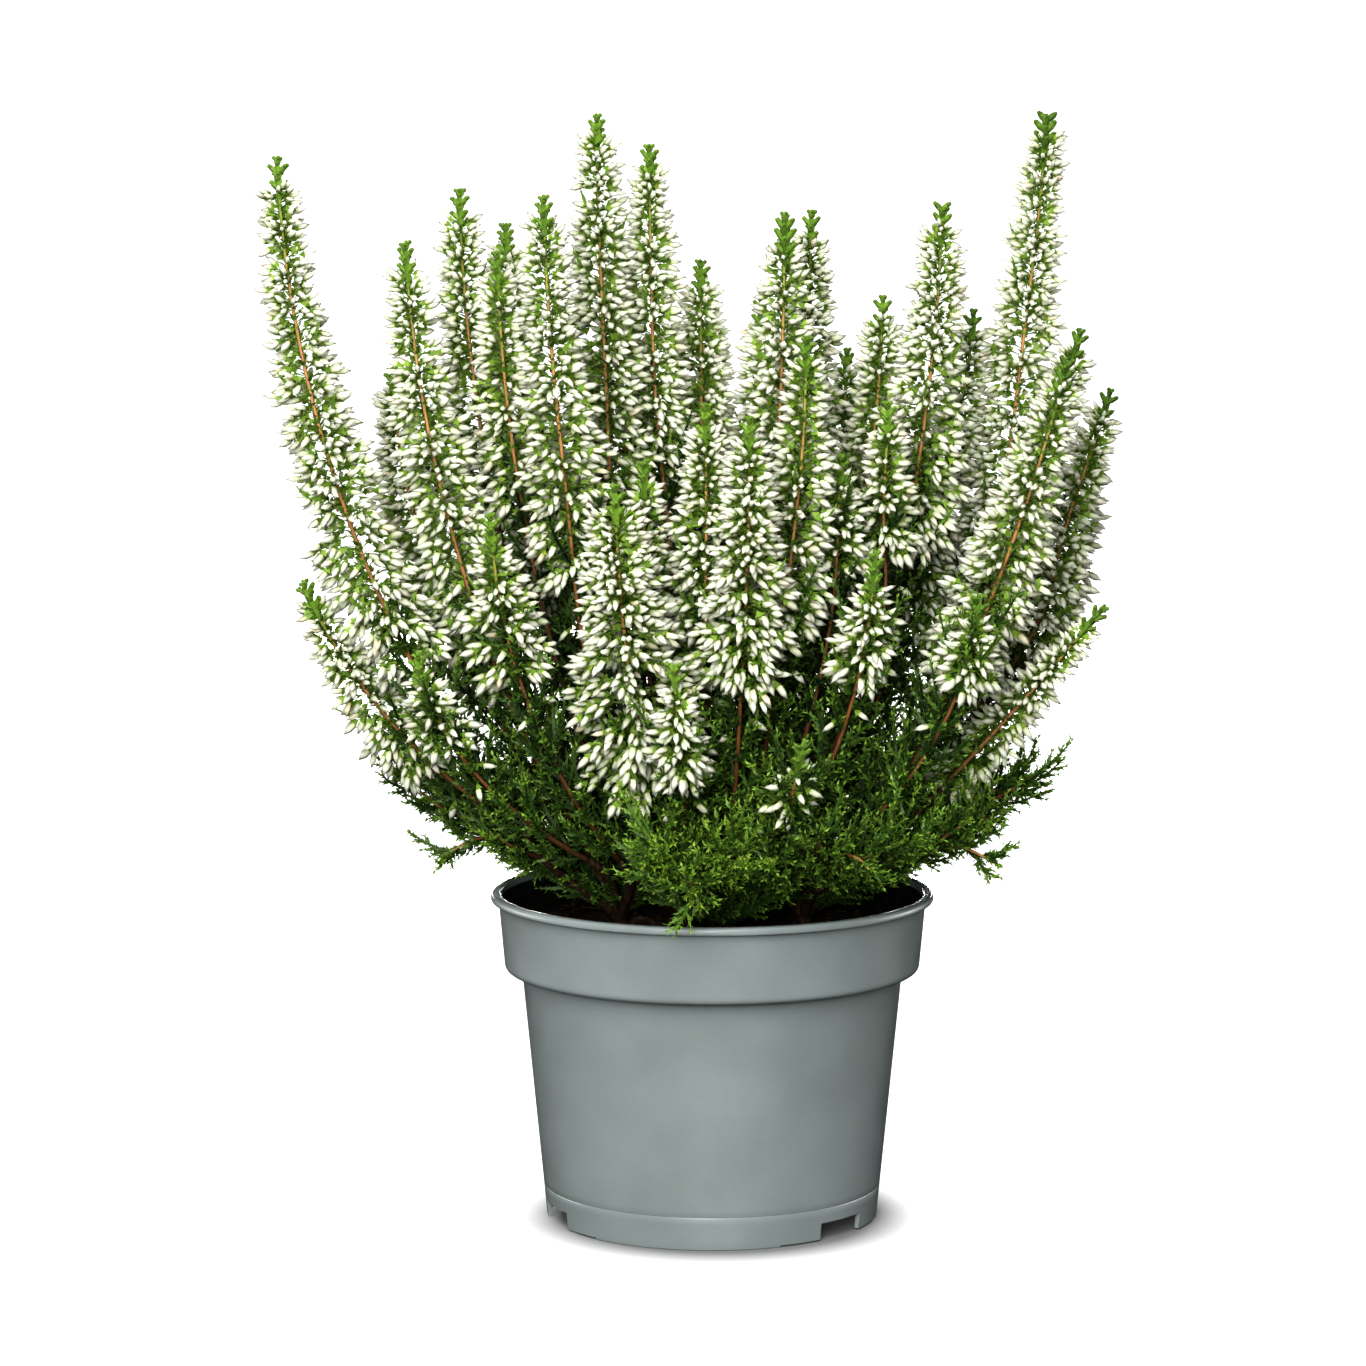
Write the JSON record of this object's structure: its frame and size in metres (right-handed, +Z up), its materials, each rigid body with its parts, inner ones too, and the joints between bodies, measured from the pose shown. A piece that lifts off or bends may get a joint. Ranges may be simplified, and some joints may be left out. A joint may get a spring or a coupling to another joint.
{
  "type": "potted heather",
  "caption": "Bud-blooming heather plant with upright white flower spikes and feathery green sprays, growing in peat in a round grey-green nursery pot.",
  "frame": {"origin": "on the pot's axis, at the surface that the pot stands on", "axes": "+Z up along the pot's axis, -Y towards the front, the side that the picture shows, +X to the right of it"},
  "size_m": [0.2294, 0.1831, 0.2982],
  "materials": {
    "pot_plastic": "satin",
    "peat": "matte",
    "bark": "matte",
    "flower_spike": "matte",
    "leafy_spray": "matte"
  },
  "bodies": {
    "root": {"pot": "pot_plastic", "soil": "peat", "rootstock_centre": "bark", "rootstock_left": "bark", "rootstock_right": "bark", "rootstock_front": "bark", "rootstock_back": "bark", "spike_01": "flower_spike", "spike_02": "flower_spike", "spike_03": "flower_spike", "spike_04": "flower_spike", "spike_05": "flower_spike", "spike_06": "flower_spike", "spike_07": "flower_spike", "spike_08": "flower_spike", "spike_09": "flower_spike", "spike_10": "flower_spike", "spike_11": "flower_spike", "spike_12": "flower_spike", "spike_13": "flower_spike", "spike_14": "flower_spike", "spike_15": "flower_spike", "spike_16": "flower_spike", "spike_17": "flower_spike", "spike_18": "flower_spike", "spike_19": "flower_spike", "spike_20": "flower_spike", "spike_21": "flower_spike", "spike_22": "flower_spike", "spike_23": "flower_spike", "spike_24": "flower_spike", "spike_25": "flower_spike", "spike_26": "flower_spike", "spike_27": "flower_spike", "spike_28": "flower_spike", "spike_29": "flower_spike", "spike_30": "flower_spike", "spike_31": "flower_spike", "spike_32": "flower_spike", "spike_33": "flower_spike", "spike_34": "flower_spike", "spike_35": "flower_spike", "spike_36": "flower_spike", "spike_37": "flower_spike", "spike_38": "flower_spike", "spike_39": "flower_spike", "spike_40": "flower_spike", "spike_41": "flower_spike", "spike_42": "flower_spike", "spike_43": "flower_spike", "spike_44": "flower_spike", "spike_45": "flower_spike", "spray_01": "leafy_spray", "spray_02": "leafy_spray", "spray_03": "leafy_spray", "spray_04": "leafy_spray", "spray_05": "leafy_spray", "spray_06": "leafy_spray", "spray_07": "leafy_spray", "spray_08": "leafy_spray"}
  },
  "joints": []
}
